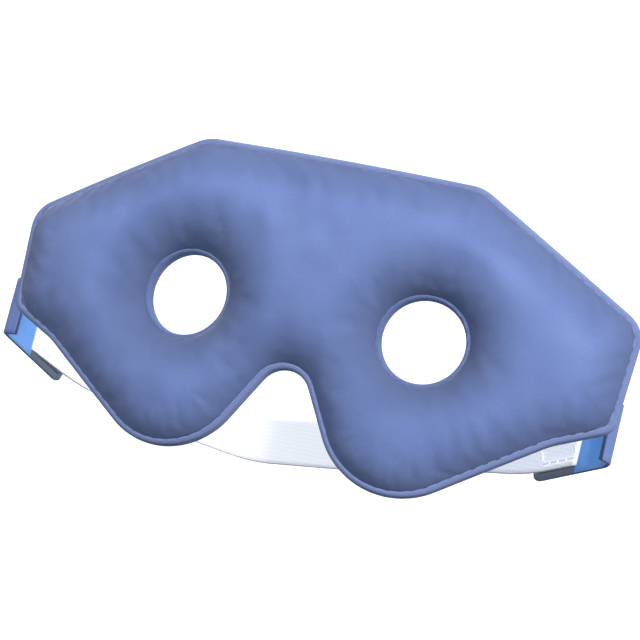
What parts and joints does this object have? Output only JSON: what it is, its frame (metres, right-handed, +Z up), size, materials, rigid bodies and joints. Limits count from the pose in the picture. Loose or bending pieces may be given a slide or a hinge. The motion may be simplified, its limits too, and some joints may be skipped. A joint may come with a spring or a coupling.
{
  "type": "eye pillow",
  "caption": "Bent padded face mask with two round eye holes, a nose notch, bound edges, folded end tabs and an elastic strap that hooks into them.",
  "frame": {"origin": "bottom centre of the whole object's box, on the surface that the mask stands on", "axes": "+Z up, -Y out of the mask's front, +X to the right seen from the front; the mask stands on its two cheek lobes and the strap, leaning back 6 degrees"},
  "size_m": [0.192, 0.0829, 0.0919],
  "materials": {
    "flocked_cloth": "soft flocked nap with a faint sheen",
    "smooth_vinyl": "smooth satin vinyl, the side that lies on the face",
    "clear_film": "thin welded pouch film",
    "gel": "soft gel",
    "binding_tape": "soft folded binding tape",
    "tab_cloth": "flocked outside, smooth blue inside",
    "hook_tape": "dark grey hook tape",
    "loop_tape": "white brushed loop tape",
    "elastic_webbing": "white ribbed elastic",
    "blue_thread": "sewing thread",
    "white_thread": "sewing thread"
  },
  "bodies": {
    "mask": {"front_cover": "flocked_cloth", "back_cover": "smooth_vinyl", "film_front": "clear_film", "film_back": "clear_film", "gel_fill": "gel", "edge_binding": "binding_tape", "edge_stitching": "blue_thread", "left_eye_binding": "binding_tape", "right_eye_binding": "binding_tape", "left_eye_stitching": "blue_thread", "right_eye_stitching": "blue_thread", "left_tab_root": "tab_cloth", "right_tab_root": "tab_cloth"},
    "left_tab": {"left_tab_flap": "tab_cloth", "left_hook_patch": "hook_tape", "left_tab_stitching": "blue_thread"},
    "right_tab": {"right_tab_flap": "tab_cloth", "right_hook_patch": "hook_tape", "right_tab_stitching": "blue_thread"},
    "strap": {"head_strap": "elastic_webbing", "left_loop_patch": "loop_tape", "right_loop_patch": "loop_tape", "left_strap_stitching": "white_thread", "right_strap_stitching": "white_thread"}
  },
  "joints": [
    {"name": "left_tab_peel", "type": "hinge", "parent": "mask", "child": "left_tab", "pos_m": [-0.09628, -0.01438, 0.03116], "axis": [0, 0.1045, 0.9945], "range_deg": [0, 110]},
    {"name": "right_tab_peel", "type": "hinge", "parent": "mask", "child": "right_tab", "pos_m": [0.09412, -0.01308, 0.03102], "axis": [0, -0.1045, -0.9945], "range_deg": [0, 110]},
    {"name": "strap_lift", "type": "slide", "parent": "mask", "child": "strap", "axis": [0, 0.1045, 0.9945], "range_m": [0, 0.035]}
  ]
}
